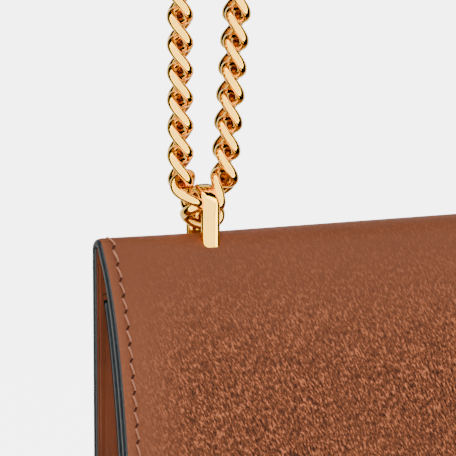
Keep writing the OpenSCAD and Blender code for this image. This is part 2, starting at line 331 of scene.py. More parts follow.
def colors():
    return bpy.context.scene.wallet_colors


def rgba(color, gain=1.0):
    return (color[0] * gain, color[1] * gain, color[2] * gain, 1.0)


@finish
def grained_calf():
    """Fine pebbled calf: short slanting cells, pulled smooth over the ridge and along the cut edges"""
    p = Paint("grained_calf", IOR=1.45, Specular_IOR_Level=0.1)
    base = colors().leather
    slant = (0.0, math.radians(26), 0.0)
    place = p.place((1.9, 1.2, 1.0), slant)
    bent = p.shift(place, p.noise_vector(place, 0.5), 1.3)
    pebble = p.ramp(p.cells(bent, 0.95), 0.0, 0.2)
    strokes = p.noise(p.place((2.5, 1.2, 1.0), slant), 0.95, 3.0, 0.7)
    patches = p.noise(p.place((1, 1, 0.6)), 0.05, 2.0)
    broad = p.noise(p.place(), 0.14, 3.0)
    pores = p.noise(p.place(), 4.5, 3.0, 0.7)
    rim = p.rim()
    below = p.height_below(RIDGE_TOP)
    firm = p.ramp(rim, 2.0, 20.0, 0.15, 1.0) * p.ramp(below, 3.0, 36.0, 0.10, 1.0)
    firm = firm * p.ramp(patches, 0.3, 0.62, 0.85, 1.0)
    pulled = p.noise(p.place((0.10, 1, 2.2)), 1.0, 3.0) * p.ramp(below, 2.0, 13.0, 1.0, 0.0)
    height = (pebble * 0.5 + strokes * 1.1) * firm + pores * 0.05 + broad * 0.2 + pulled * 0.35
    crease = (1.0 - pebble) * firm
    color = p.mix(p.ramp(patches, 0.3, 0.7), rgba(base, 0.95), rgba(base, 1.05))
    # Painted shade: darker towards the ridge top, where the leather faces up and gets less light
    color = p.mix(p.ramp(below, 2.0, 30.0, 0.6, 0.0), color, rgba(base, 0.70))
    # Painted shade and highlight in the grain: darker in the cells' creases and in dark specks, with bright
    # glints on the light specks, in place of light falling on the pebbles
    color = p.mix(crease * 0.6, color, rgba(base, 0.40))
    color = p.mix(p.ramp(strokes, 0.47, 0.375) * firm, color, rgba(base, 0.15))
    color = p.mix(p.ramp(strokes, 0.52, 0.635) * firm, color, rgba(base, 3.5))
    # Painted highlight: lighter within 1.4 mm of the cut edge, where the rounded edge catches light
    color = p.mix(p.ramp(rim, 0.0, 1.4, 0.32, 0.0), color, rgba(base, 1.6))
    rough = 0.52 + crease * 0.18 + (patches - 0.5) * 0.1
    return p.finish(color, rough, height, relief=0.3, strength=1.0)


@finish
def smooth_lining():
    """Smooth red-brown lambskin with a faint fine grain"""
    p = Paint("smooth_lining", IOR=1.45, Specular_IOR_Level=0.35)
    base = colors().lining
    place = p.place()
    fine = p.ramp(p.cells(p.shift(place, p.noise_vector(place, 1.2), 0.7), 2.4), 0.0, 0.35)
    broad = p.noise(place, 0.09, 3.0)
    color = p.mix(p.ramp(broad, 0.3, 0.7), rgba(base, 0.86), rgba(base, 1.14))
    color = p.mix((1.0 - fine) * 0.25, color, rgba(base, 0.6))
    rough = 0.55 + (broad - 0.5) * 0.12
    return p.finish(color, rough, fine * 0.5 + p.noise(place, 6.0) * 0.3, relief=0.05, strength=0.6)


@finish
def edge_paint():
    """Slate-black edge paint: thick, slightly uneven and softly glossy"""
    p = Paint("edge_paint", IOR=1.5, Specular_IOR_Level=0.22, Coat_Weight=0.02, Coat_Roughness=0.2)
    base = colors().edge
    place = p.place()
    waves = p.noise(place, 0.9, 3.0)
    color = p.mix(p.ramp(waves, 0.35, 0.7), rgba(base, 0.8), rgba(base, 1.5))
    return p.finish(color, 0.34 + (waves - 0.5) * 0.2, waves + p.noise(place, 4.0) * 0.3,
                    relief=0.05, strength=0.7)


@finish
def waxed_thread():
    """Tone-on-tone thread whose two plies are laid round each other"""
    p = Paint("waxed_thread", IOR=1.45, Specular_IOR_Level=0.4)
    base = colors().thread
    place = p.place((1, 1, 1), (0.0, 0.6, 0.0))
    ply = p.node("ShaderNodeTexWave", {"bands_direction": "Z"}, out=1, Vector=place, Scale=1.6,
                 Distortion=0.6)
    # Painted shade and highlight: the ply bands are darker in the grooves between the plies and lighter on
    # their crests, following the same wave as their bump
    color = p.mix(ply, rgba(base, 0.68), rgba(base, 1.08))
    return p.finish(color, 0.48 + p.noise(place, 4.0) * 0.15, ply, relief=0.08, strength=0.8)


@finish
def needle_hole_shade():
    """Painted shade: a near-black mark for the shaded inside of the slanted cut that each stitch goes into"""
    p = Paint("needle_hole_shade", Specular_IOR_Level=0.1)
    dark = p.noise(p.place(), 3.0)
    return p.finish(p.mix(dark, (0.035, 0.008, 0.003, 1), (0.075, 0.018, 0.008, 1)), 0.8 + dark * 0.1)


def polished(name, base, rough, wear):
    """Plated metal: faint lines from polishing, a slightly uneven gloss and painted shade on the chain links'
    inner sides
    """
    p = Paint(name, Metallic=1.0)
    place = p.place((1, 1, 0.25))
    cloud = p.noise(p.place(), 0.35, 3.0)
    lines = p.noise(place, 7.0, 4.0, 0.7)
    color = p.mix(p.ramp(cloud, 0.3, 0.75), rgba(base, 0.95), rgba(base, 1.03))
    # Painted shade: darker brown on the chain links' wires where they face into the link and the other wires
    # shade them
    color = p.mix(p.ramp(p.rim(), 0.45, 0.8) * 0.85, color, (base[0] * 0.3, base[1] * 0.22, base[2] * 0.1, 1))
    return p.finish(color, rough + (cloud - 0.5) * 0.06 + (lines - 0.5) * wear, lines,
                    relief=0.004, strength=0.35)


@finish
def chain_gold():
    return polished("chain_gold", colors().gold, 0.10, 0.05)


@finish
def staple_gold():
    return polished("staple_gold", colors().gold, 0.075, 0.04)


@finish
def zip_gold():
    return polished("zip_gold", (0.84, 0.62, 0.34), 0.22, 0.12)


@finish
def plated_steel():
    return polished("plated_steel", (0.62, 0.61, 0.59), 0.28, 0.2)


@finish
def zip_weave():
    """Woven tape: fine ribs crossed by a herringbone"""
    p = Paint("zip_weave", Specular_IOR_Level=0.2, Sheen_Weight=0.3)
    up = p.node("ShaderNodeTexWave", {"bands_direction": "X"}, out=1, Vector=p.place(), Scale=0.9)
    across = p.node("ShaderNodeTexWave", {"bands_direction": "Z"}, out=1, Vector=p.place(), Scale=1.1,
                    Distortion=0.5)
    weave = p.maths("MAXIMUM", up, across)
    return p.finish(p.mix(weave, (0.05, 0.015, 0.008, 1), (0.17, 0.055, 0.03, 1)), 0.85 - weave * 0.1,
                    weave, relief=0.1, strength=0.8)


@finish
def fibre_board():
    """Bonded leather fibre"""
    p = Paint("fibre_board", Specular_IOR_Level=0.2)
    fibre = p.noise(p.place((1, 3, 3)), 1.2, 5.0, 0.7)
    return p.finish(p.mix(fibre, (0.10, 0.06, 0.035, 1), (0.24, 0.15, 0.09, 1)), 0.8 + fibre * 0.1,
                    fibre, relief=0.1)


# ---------- mesh building ----------


def new_piece(name, points, faces, materials, indices=None, rims=None, sharp=50.0):
    """A smooth-shaded mesh object from points in millimetres"""
    mesh = bpy.data.meshes.new(name)
    mesh.from_pydata([Vector(p) * MM for p in points], [], faces)
    for material in materials:
        mesh.materials.append(material)
    if indices is not None:
        mesh.polygons.foreach_set("material_index", indices)
    if rims is not None:
        mesh.attributes.new("rim", "FLOAT", "POINT").data.foreach_set("value", rims)
    built = bmesh.new()
    built.from_mesh(mesh)
    bmesh.ops.recalc_face_normals(built, faces=built.faces)
    built.to_mesh(mesh)
    built.free()
    mesh.polygons.foreach_set("use_smooth", [True] * len(mesh.polygons))
    mesh.set_sharp_from_angle(angle=math.radians(sharp))
    piece = bpy.data.objects.new(name, mesh)
    bpy.context.scene.collection.objects.link(piece)
    return piece


def wall(name, pos, us, vs, depths, materials, rim, bulge=0.45, relief=None, flat_v=(), steps=6):
    """Closed wall between two depths of a surface, with a domed edge all round.

    pos(u, v, depth) gives a point, rim(u, v) the distance to the nearest cut edge. flat_v holds
    the rows, first (0) or last (-1), that end flat because another piece goes on from there.
    materials are the face's, the edge's and the inner side's.
    """
    nu, nv = len(us), len(vs)
    relief = relief or (lambda distance: 0.0)
    rims = [rim(u, v) for u in us for v in vs]
    outer = [pos(u, v, depths[0] + relief(rims[i * nv + j]))
             for i, u in enumerate(us) for j, v in enumerate(vs)]
    inner = [pos(u, v, depths[1]) for u in us for v in vs]
    points = outer + inner
    count = nu * nv
    faces, indices = [], []
    for i in range(nu - 1):
        for j in range(nv - 1):
            a, b, c, d = i * nv + j, (i + 1) * nv + j, (i + 1) * nv + j + 1, i * nv + j + 1
            faces += [(a, b, c, d), (d + count, c + count, b + count, a + count)]
            indices += [0, 2]
    around = ([(i, 0) for i in range(nu)] + [(nu - 1, j) for j in range(1, nv)]
              + [(i, nv - 1) for i in range(nu - 2, -1, -1)] + [(0, j) for j in range(nv - 2, 0, -1)])
    flat_rows = {0 if v == 0 else nv - 1 for v in flat_v}
    rings = []
    for i, j in around:
        at = i * nv + j
        near = min(max(i, 1), nu - 2) * nv + min(max(j, 1), nv - 2)
        if j in flat_rows:
            near = min(max(i, 1), nu - 2) * nv + j
        out = (outer[at] - outer[near]).normalized() if i in (0, nu - 1) or j not in flat_rows else Vector()
        half = (outer[at] - inner[at]) / 2
        middle = (outer[at] + inner[at]) / 2
        ring = [at]
        for k in range(1, steps):
            turn = math.pi * k / steps
            points.append(middle + half * math.cos(turn) + out * bulge * math.sin(turn))
            ring.append(len(points) - 1)
        rings.append(ring + [at + count])
    for n, ring in enumerate(rings):
        after = rings[(n + 1) % len(rings)]
        row, next_row = around[n][1], around[(n + 1) % len(around)][1]
        flat = row == next_row and row in flat_rows
        for k in range(steps):
            faces.append((ring[k], ring[k + 1], after[k + 1], after[k]))
            indices.append(0 if flat else 1)
    rims = rims + rims + [0.0] * (len(points) - 2 * count)
    return new_piece(name, points, faces, materials, indices, rims)


EDGE_STEPS = [0.0, 0.25, 0.7, 1.2, 1.7, 2.05, 2.4, 2.75, 3.2, 4.0, 5.2, 7.0, 9.0, 11.5, 14.0, 17.0, 21.0]


def across(half, middle_step=11.0, fine=False):
    """Places across a width, close together near its ends and, if fine, round the staples"""
    inner = half - EDGE_STEPS[-1]
    n = max(2, round(2 * inner / middle_step))
    middle = [-inner + 2 * inner * k / n for k in range(1, n)]
    if fine:
        near = [side * STAPLE_X + 0.55 * k for side in (-1, 1) for k in range(-9, 10)]
        middle = [x for x in middle if abs(abs(x) - STAPLE_X) > 6]
        middle = sorted(middle + [x for x in near if abs(x) < inner])
    return [e - half for e in EDGE_STEPS] + middle + [half - e for e in reversed(EDGE_STEPS)]


def far_from_rim(u, v):
    """Rim distance of a piece that gets no edge effects, such as the painted highlight along a cut edge"""
    return 20.0


def leg_dent(x, t):
    """How far the hide is pressed in round the staples' legs"""
    y, z = skin(0, t, 0).yz
    near = math.hypot(abs(x) - STAPLE_X, abs(y) + STAPLE_LOW.y + 1.1)
    return 0.2 * math.exp(-(near / 2.9) ** 4) if z > RIDGE_TOP - 9 else 0.0


def seam_relief(distance):
    """Sinks the face along the seam and lifts it a little towards the edge"""
    groove = 0.16 * math.exp(-((distance - SEAM_IN) / 0.42) ** 2)
    rounding = 0.20 * math.exp(-distance / 0.45)
    return groove + rounding - 0.05 * math.exp(-((distance - 1.2) / 0.5) ** 2)


def shallow_relief(distance):
    """A seam's groove at half its depth, for thin leather"""
    return 0.5 * seam_relief(distance)


def spread(start, end, step):
    n = max(1, math.ceil(abs(end - start) / step))
    return [start + (end - start) * k / n for k in range(n)]


def put(piece, body, slot, *nodes):
    """Attaches a finished piece to the body that it rides on and hides the nodes that it stands for; the slot
    is not used
    """
    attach(piece, body)
    if nodes:
        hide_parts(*nodes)
    return piece


def fold(piece, slot, *nodes):
    """A piece that crosses the fold between the ridge and the flap"""
    start, end = skin(0, FOLD_START_S, WALL_T / 2) * MM, skin(0, FOLD_END_S, WALL_T / 2) * MM
    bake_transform(piece)
    if nodes:
        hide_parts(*nodes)
    return piece


# ---------- repeats ----------

_trees = {}


def repeat_tree():
    """Geometry Nodes: a unit on every point, its Z along one attribute and its Y along another"""
    if "repeat" in _trees:
        return _trees["repeat"]
    tree = bpy.data.node_groups.new("repeat_along", "GeometryNodeTree")
    face = tree.interface
    face.new_socket("Geometry", in_out="INPUT", socket_type="NodeSocketGeometry")
    face.new_socket("Unit", in_out="INPUT", socket_type="NodeSocketObject")
    face.new_socket("Finish", in_out="INPUT", socket_type="NodeSocketMaterial")
    face.new_socket("Geometry", in_out="OUTPUT", socket_type="NodeSocketGeometry")
    new, link = tree.nodes.new, tree.links.new
    inputs, outputs = new("NodeGroupInput"), new("NodeGroupOutput")
    unit = new("GeometryNodeObjectInfo")
    link(inputs.outputs["Unit"], unit.inputs["Object"])
    turns = []
    for name, axis in (("along", "Z"), ("out", "Y")):
        named = new("GeometryNodeInputNamedAttribute")
        named.data_type = "FLOAT_VECTOR"
        named.inputs["Name"].default_value = name
        align = new("FunctionNodeAlignRotationToVector")
        align.axis = axis
        align.pivot_axis = "AUTO" if name == "along" else "Z"
        link(named.outputs["Attribute"], align.inputs["Vector"])
        if turns:
            link(turns[-1].outputs["Rotation"], align.inputs["Rotation"])
        turns.append(align)
    onto = new("GeometryNodeInstanceOnPoints")
    link(inputs.outputs["Geometry"], onto.inputs["Points"])
    link(unit.outputs["Geometry"], onto.inputs["Instance"])
    link(turns[-1].outputs["Rotation"], onto.inputs["Rotation"])
    real, paint = new("GeometryNodeRealizeInstances"), new("GeometryNodeSetMaterial")
    link(onto.outputs["Instances"], real.inputs["Geometry"])
    link(real.outputs["Geometry"], paint.inputs["Geometry"])
    link(inputs.outputs["Finish"], paint.inputs["Material"])
    link(paint.outputs["Geometry"], outputs.inputs["Geometry"])
    _trees["repeat"] = tree
    return tree


def repeated(name, places, unit, material):
    """Copies of a unit at places (point, along, out) in millimetres, as one plain mesh"""
    mesh = bpy.data.meshes.new(name + "_points")
    mesh.from_pydata([p[0] * MM for p in places], [], [])
    for key, column in (("along", 1), ("out", 2)):
        values = [c for p in places for c in p[column].normalized()]
        mesh.attributes.new(key, "FLOAT_VECTOR", "POINT").data.foreach_set("vector", values)
    holder = bpy.data.objects.new(name + "_points", mesh)
    bpy.context.scene.collection.objects.link(holder)
    modifier = holder.modifiers.new("repeat", "NODES")
    modifier.node_group = repeat_tree()
    given = {"Unit": unit, "Finish": material}
    for item in modifier.node_group.interface.items_tree:
        if item.in_out == "INPUT" and item.name in given:
            modifier[item.identifier] = given[item.name]
    bpy.context.view_layer.update()
    evaluated = holder.evaluated_get(bpy.context.evaluated_depsgraph_get())
    result = bpy.data.meshes.new_from_object(evaluated)
    result.name = name
    holder.modifiers.remove(modifier)
    bpy.data.objects.remove(holder)
    piece = bpy.data.objects.new(name, result)
    bpy.context.scene.collection.objects.link(piece)
    return piece


def drop(unit):
    bpy.data.objects.remove(unit)


def sleeve(rings, around, closed=False):
    """Faces of a tube whose points lie in rings of the same number of points"""
    faces = []
    for k in range(rings if closed else rings - 1):
        after = (k + 1) % rings
        for m in range(around):
            beside = (m + 1) % around
            faces.append((k * around + m, k * around + beside, after * around + beside, after * around + m))
    return faces


def caps(rings, around):
    """Faces that close the two ends of a tube"""
    return [tuple(range(around)), tuple((rings - 1) * around + m for m in reversed(range(around)))]


def tube_unit(name, line, sides, radius, flatten):
    """A swept oval section along a line of points; radius(k) may vary along it"""
    n = len(line)
    points = []
    for k, p in enumerate(line):
        along = (line[min(k + 1, n - 1)] - line[max(k - 1, 0)]).normalized()
        side = along.cross(Vector((0, 1, 0))).normalized()
        up = side.cross(along)
        r = radius(k)
        for m in range(sides):
            turn = 2 * math.pi * m / sides
            points.append(p + side * r * math.cos(turn) + up * r * flatten * math.sin(turn))
    return new_piece(name, points, sleeve(n, sides) + caps(n, sides), [], sharp=80.0)


# ---------- the hide ----------


LINING_INSET = 0.7
HIDE_DEPTHS = (0.0, WALL_T - LINING_SHOW)


def hide_layers():
    """Materials of a hide wall: its face, its painted edge and its inner side"""
    return [grained_calf(), edge_paint(), smooth_lining()]


def flap_end_s():
    return front_s_at(box_mm("flap_leather")[0].z)


def half_at(s, half, end, corner):
    """Half width, at a distance s, of an outline whose two far corners are round"""
    over = s - (end - corner)
    return half if over <= 0 else half - corner + math.sqrt(max(corner ** 2 - over ** 2, 0.0))


def corner_rim(x, s, half, end, corner):
    """Distance to the border of the same outline"""
    dx, ds = abs(x) - (half - corner), s - (end - corner)
    if dx > 0 and ds > 0:
        return max(corner - math.hypot(dx, ds), 0.0)
    return max(min(half - abs(x), end - s), 0.0)


class WALLET_OT_ridge_hide(Operator):
    """Back wall and ridge, cut in one with the flap from a single hide"""
    bl_idname = "wallet.ridge_hide"
    bl_label = "Back and ridge"

    def execute(self, context):
        foot = -(ARC + BACK_L)
        rows = [foot + e for e in EDGE_STEPS[:14]]
        rows += spread(foot + 14, -ARC - 6, 7.0) + spread(-ARC - 6, -ARC, 1.5)
        rows += spread(-ARC, 0, 0.62) + [0.0, 0.5, 1.0, JOIN_S]

        def pressed(x, t, depth):
            return skin(x, t, depth + leg_dent(x, t))

        hide = wall("ridge_hide", pressed, across(HALF_W, fine=True), rows, HIDE_DEPTHS, hide_layers(),
                    lambda x, t: min(HALF_W - abs(x), t - foot), relief=seam_relief, flat_v=(-1,))
        put(hide, "case", "tan_leather", "back_leather")
        return {"FINISHED"}


class WALLET_OT_flap(Operator):
    """Flap with round lower corners, its fold below the ridge and its lining"""
    bl_idname = "wallet.flap"
    bl_label = "Flap"

    def execute(self, context):
        sizes = context.scene.wallet_sizes
        corner = sizes.flap_corner / MM
        end = flap_end_s()
        near_end = [end - e for e in reversed(EDGE_STEPS[:15])]
        rows = [JOIN_S, JOIN_S + 0.5, JOIN_S + 1.0] + spread(3.2, 18, 0.9)
        rows += spread(18, near_end[0], 5.0) + near_end

        def pos(x, s, depth):
            return skin(x * half_at(s, HALF_W, end, corner) / HALF_W, s, depth + leg_dent(x, s))

        def rim(x, s):
            return corner_rim(x * half_at(s, HALF_W, end, corner) / HALF_W, s, HALF_W, end, corner)

        flap = wall("flap_hide", pos, across(HALF_W, fine=True), rows, HIDE_DEPTHS, hide_layers(), rim,
                    relief=seam_relief, flat_v=(0,))
        fold(flap, "tan_leather", "flap_leather", "flap_fold")

        half, low, low_corner = HALF_W - LINING_INSET, end - LINING_INSET, corner - LINING_INSET
        rows = spread(5.2, 18, 1.2) + spread(18, low - 14, 6.0) + [low - e for e in reversed(EDGE_STEPS[:15])]

        def lining_pos(x, s, depth):
            return skin(x * half_at(s, half, low, low_corner) / half, s, depth)

        lining = wall("flap_lining_skin", lining_pos, across(half), rows,
                      (WALL_T - LINING_SHOW + 0.01, WALL_T + 0.03), [smooth_lining()] * 3,
                      lambda x, s: corner_rim(x, s, half, low, low_corner), bulge=0.08, steps=2)
        fold(lining, "brown_lining", "flap_lining")
        return {"FINISHED"}


class WALLET_OT_front_wall(Operator):
    """Front wall under the flap, with its lining and the slip pocket inside it"""
    bl_idname = "wallet.front_wall"
    bl_label = "Front wall"

    def execute(self, context):
        top, foot = FRONT_TOP_S, front_foot_s()
        inside = [smooth_lining()] * 3
        half = FRONT_HALF_W
        rows = [top + e for e in EDGE_STEPS[:13]] + spread(top + 10, foot - 8, 5.0)
        rows += [foot - e for e in reversed(EDGE_STEPS[:12])]
        front = wall("front_wall_hide", skin, across(half), rows,
                     [FRONT_DEPTH + depth for depth in HIDE_DEPTHS], hide_layers(),
                     lambda x, s: min(half - abs(x), s - top, foot - s), relief=seam_relief)
        put(front, "front_wall", "tan_leather", "front_leather")
        half -= LINING_INSET
        rows = spread(top + LINING_INSET, foot - LINING_INSET, 6.0) + [foot - LINING_INSET]
        depth = FRONT_DEPTH + WALL_T - LINING_SHOW + 0.01
        lining = wall("front_lining_skin", skin, across(half), rows, (depth, depth + 0.2), inside,
                      far_from_rim, bulge=0.08, steps=2)
        put(lining, "front_wall", "brown_lining", "front_lining")
        pocket_low, pocket_high = box_mm("front_slip_pocket")
        start, end, pocket_half = front_s_at(pocket_high.z), front_s_at(pocket_low.z), pocket_high.x
        depth += 0.22
        rows = [start + e for e in EDGE_STEPS[:12]] + spread(start + 9, end - 2, 6.0)
        rows += [end - 2, end - 1, end]
        pocket = wall("slip_pocket", skin, across(pocket_half), rows, (depth, depth + 0.6), inside,
                      lambda x, s: min(pocket_half - abs(x), s - start), bulge=0.2)
        put(pocket, "front_wall", "brown_lining", "front_slip_pocket")
        return {"FINISHED"}


class WALLET_OT_base(Operator):
    """Base strip between the back and front walls, with its lining"""
    bl_idname = "wallet.base"
    bl_label = "Base"

    def execute(self, context):
        for node, name, slot, materials in (
                ("base_leather", "base_strip", "tan_leather", hide_layers()),
                ("base_lining", "base_lining_skin", "brown_lining", [smooth_lining()] * 3)):
            low, high = box_mm(node)
            half = high.x - 0.3

            def pos(x, y, depth, low=low):
                return Vector((x, y, low.z + depth))

            def rim(x, y, low=low, high=high, half=half):
                return min(half - abs(x), y - low.y, high.y - y)

            rows = spread(low.y + 0.3, high.y - 0.3, 1.6) + [high.y - 0.3]
            strip = wall(name, pos, across(half), rows, (0.0, high.z - low.z), materials, rim, bulge=0.3)
            put(strip, "case", slot, node)
        return {"FINISHED"}


# ---------- inside ----------


class WALLET_OT_back_lining(Operator):
    """Lining of the back wall, carried over under the ridge and its fittings"""
    bl_idname = "wallet.back_lining"
    bl_label = "Back lining"

    def execute(self, context):
        foot = -(ARC + BACK_L) + 2.4
        rows = spread(foot, -ARC - 8, 7.0) + spread(-ARC - 8, 4.2, 0.8) + [4.2]

        def pos(x, t, depth):
            under = math.sin(math.pi * min(max((-t + 5) / (ARC + 10), 0), 1)) ** 2
            return skin(x, t, depth + 3.8 * under * (1 - pinch_at(x)) * (1 if t < 5 else 0))

        start = WALL_T - LINING_SHOW + 0.02
        lining = wall("back_lining_skin", pos, across(HALF_W - LINING_INSET), rows, (start, start + 0.22),
                      [smooth_lining()] * 3, far_from_rim, bulge=0.05, steps=2)
        put(lining, "case", "brown_lining", "back_lining")
        return {"FINISHED"}


class WALLET_OT_gussets(Operator):
    """Bellows at both ends: one fold in, a middle ridge and a second fold in"""
    bl_idname = "wallet.gussets"
    bl_label = "Gussets"

    def execute(self, context):
        sizes = context.scene.wallet_sizes
        fold_in = sizes.gusset_fold / MM
        edge_in, back_top, s_top, s_foot = 0.5, 5.7, 9.6, FRONT_L - 5.5
        base_z = BACK_LOW.z + WALL_T + 0.3
        for side, node in ((-1, "left_gusset"), (1, "right_gusset")):
            def pos(u, v, depth, side=side):
                near_end = side * (HALF_W - edge_in)
                front = skin(near_end, s_foot + (s_top - s_foot) * v, FRONT_DEPTH + WALL_T - 0.15)
                back = skin(near_end, -ARC, WALL_T - 0.15)
                back.z = base_z + (RIDGE_TOP - back_top - base_z) * v
                at = back.lerp(front, u)
                deep = (0.62 + 0.38 * (1 - v)) * fold_in
                zigzag = abs(math.sin(2 * math.pi * u)) ** 0.75
                at.x = side * (HALF_W - edge_in - deep * zigzag - 0.5 * math.sin(math.pi * u) - depth)
                return at

            us = [0.5 - 0.5 * math.cos(math.pi * k / 48) if k in (0, 48) else k / 48 for k in range(49)]
            vs = spread(0, 0.9, 0.04) + spread(0.9, 1.0, 0.012) + [1.0]
            lining = smooth_lining()
            gusset = wall("gusset_" + ("left" if side < 0 else "right"), pos, us, vs, (0.0, 0.85),
                          [lining, edge_paint(), lining], far_from_rim, bulge=0.3)
            start = skin(side * HALF_W, -ARC, WALL_T)
            end = skin(side * HALF_W, s_top, FRONT_DEPTH + WALL_T)
            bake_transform(gusset)
            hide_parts(node)
        return {"FINISHED"}


def card_nodes():
    """The card strips, then the pocket in front of them"""
    return sorted(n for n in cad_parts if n.startswith("card_strip_")) + ["card_front_pocket"]


class WALLET_OT_card_side(Operator):
    """Stepped card strips and the pocket in front of them"""
    bl_idname = "wallet.card_side"
    bl_label = "Card slots"

    def execute(self, context):
        lining = smooth_lining()
        for node in card_nodes():
            low, high = box_mm(node)
            half = high.x - 0.15

            def pos(x, z, depth, low=low):
                return Vector((x, low.y + depth, z))

            def rim(x, z, half=half, high=high):
                return min(half - abs(x), high.z - z)

            rows = spread(low.z, high.z - 12, 8.0) + [high.z - e for e in reversed(EDGE_STEPS[:14])]
            made = wall(node + "_panel", pos, across(half), rows, (0.0, high.y - low.y), [lining] * 3, rim,
                        bulge=0.12, steps=4, relief=shallow_relief)
            put(made, "case", "brown_lining", node)
        return {"FINISHED"}


DIVIDER_LEAN = math.radians(5.0)


def divider_axes():
    """The divider's foot, its directions up and out, and its half width, in millimetres"""
    low, high = box_mm("pocket_rear_wall")
    up = Vector((0, math.sin(DIVIDER_LEAN), math.cos(DIVIDER_LEAN)))
    out = Vector((0, -math.cos(DIVIDER_LEAN), math.sin(DIVIDER_LEAN)))
    front_low = box_mm("pocket_front_wall")[0]
    foot = Vector((0, (front_low.y + low.y + 0.9) / 2, low.z))
    return foot, up, out, high.x


class WALLET_OT_divider(Operator):
    """Zipped pocket that divides the inside: two walls sewn to the zip's tapes"""
    bl_idname = "wallet.divider"
    bl_label = "Zipped divider"

    def execute(self, context):
        foot, up, out, half = divider_axes()
        tall, wall_t, gap = 85.0, 0.9, 0.3
        lining = smooth_lining()
        for node, side in (("pocket_front_wall", 1), ("pocket_rear_wall", -1)):
            def pos(x, h, depth, side=side):
                return foot + Vector((x, 0, 0)) + up * h + out * side * (gap + wall_t - depth)

            rows = spread(0, tall - 12, 8.0) + [tall - e for e in reversed(EDGE_STEPS[:14])]
            made = wall(node + "_panel", pos, across(half - 0.2), rows, (0.0, wall_t), [lining] * 3,
                        lambda x, h: tall - h, bulge=0.12, steps=4, relief=shallow_relief)
            put(made, "divider", "brown_lining", node)
        return {"FINISHED"}


def islands(node):
    """The separate solids of a CAD node, as arrays of points in millimetres"""
    built = bmesh.new()
    built.from_mesh(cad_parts[node].data)
    bmesh.ops.remove_doubles(built, verts=built.verts, dist=1e-6)
    built.verts.ensure_lookup_table()
    seen, groups = set(), []
    for vert in built.verts:
        if vert.index in seen:
            continue
        seen.add(vert.index)
        stack, group = [vert], []
        while stack:
            v = stack.pop()
            group.append(v.co / MM)
            for e in v.link_edges:
                other = e.other_vert(v)
                if other.index not in seen:
                    seen.add(other.index)
                    stack.append(other)
        groups.append(np.array([list(c) for c in group]))
    built.free()
    return groups


class WALLET_OT_zip(Operator):
    """Zip along the divider's top: teeth, stops, tapes, slider and puller"""
    bl_idname = "wallet.zip"
    bl_label = "Zip"

    def execute(self, context):
        unit = tube_unit("tooth_unit", [Vector((0, 0, z)) for z in (-1.05, -0.9, -0.35, 0.35, 0.9, 1.05)], 8,
                         lambda k: (0.45, 0.72, 0.62, 0.62, 0.72, 0.45)[k], 0.8)
        up = divider_axes()[1]
        places = [(Vector((g.min(0) + g.max(0)) / 2), up, Vector((1, 0, 0))) for g in islands("zip_teeth")]
        teeth = repeated("zip_teeth_row", places, unit, zip_gold())
        drop(unit)
        put(teeth, "divider", "zip_gold", "zip_teeth")
        repaint(zip_gold(), "zip_stops", "zip_slider", "zip_puller")
        repaint(zip_weave(), "zip_tapes")
        return {"FINISHED"}


def repaint(material, *nodes):
    for node in nodes:
        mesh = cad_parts[node].data
        mesh.materials.clear()
        mesh.materials.append(material)


class WALLET_OT_fittings(Operator):
    """Hidden fittings: plates and screws under the staples, magnets and the ridge's core"""
    bl_idname = "wallet.fittings"
    bl_label = "Hidden fittings"

    def execute(self, context):
        repaint(plated_steel(), "left_backing_plate", "right_backing_plate", "staple_screws",
                "flap_magnet", "front_magnet")
        repaint(fibre_board(), "ridge_core")
        return {"FINISHED"}


# ---------- metalwork ----------


class WALLET_OT_staples(Operator):
    """Arched staples of a bevelled bar, their feet set into the ridge"""
    bl_idname = "wallet.staples"
    bl_label = "Staples"

    def execute(self, context):
        bar_t, bar_w, round_r, corner = 2.2, 4.2, 1.02, 3.9
        top = STAPLE_HIGH.z - bar_t / 2
        half_span = (STAPLE_HIGH.y - STAPLE_LOW.y - bar_t) / 2
        line = [(half_span, z, 0.0) for z in (STAPLE_LOW.z, top - corner - 3, top - corner - 1)]
        for k in range(13):
            turn = math.pi / 2 * k / 12
            y = half_span + corner * (math.cos(turn) - 1)
            line.append((y, top + corner * (math.sin(turn) - 1), turn))
        line += [(-y, z, math.pi - turn) for y, z, turn in reversed(line)]
        section = []
        for quarter in range(4):
            middle = math.pi / 2 * quarter
            a = math.copysign(bar_t / 2 - round_r, math.cos(middle + 0.7))
            b = math.copysign(bar_w / 2 - round_r, math.sin(middle + 0.7))
            for k in range(7):
                turn = middle + math.pi / 2 * k / 6
                section.append((a + round_r * math.cos(turn), b + round_r * math.sin(turn)))
        faces = sleeve(len(line), len(section)) + caps(len(line), len(section))
        for side, node in ((-1, "left_staple"), (1, "right_staple")):
            points = [Vector((side * STAPLE_X + b, y + a * math.cos(turn), z + a * math.sin(turn)))
                      for y, z, turn in line for a, b in section]
            staple = new_piece("staple_" + ("left" if side < 0 else "right"), points, faces, [staple_gold()],
                               sharp=30.0)
            put(staple, "case", "staple_gold", node)
        return {"FINISHED"}


# Each run's nodes and how far its links are turned about the strand, in degrees
CHAIN_RUNS = (
    ("outer_run", ("outer_chain_flat_links", "outer_chain_cross_links"), -29),
    ("inner_run", ("inner_chain_flat_links", "inner_chain_cross_links"), -20),
    ("eye_run", ("eye_links", "eye_side_links"), -29),
)


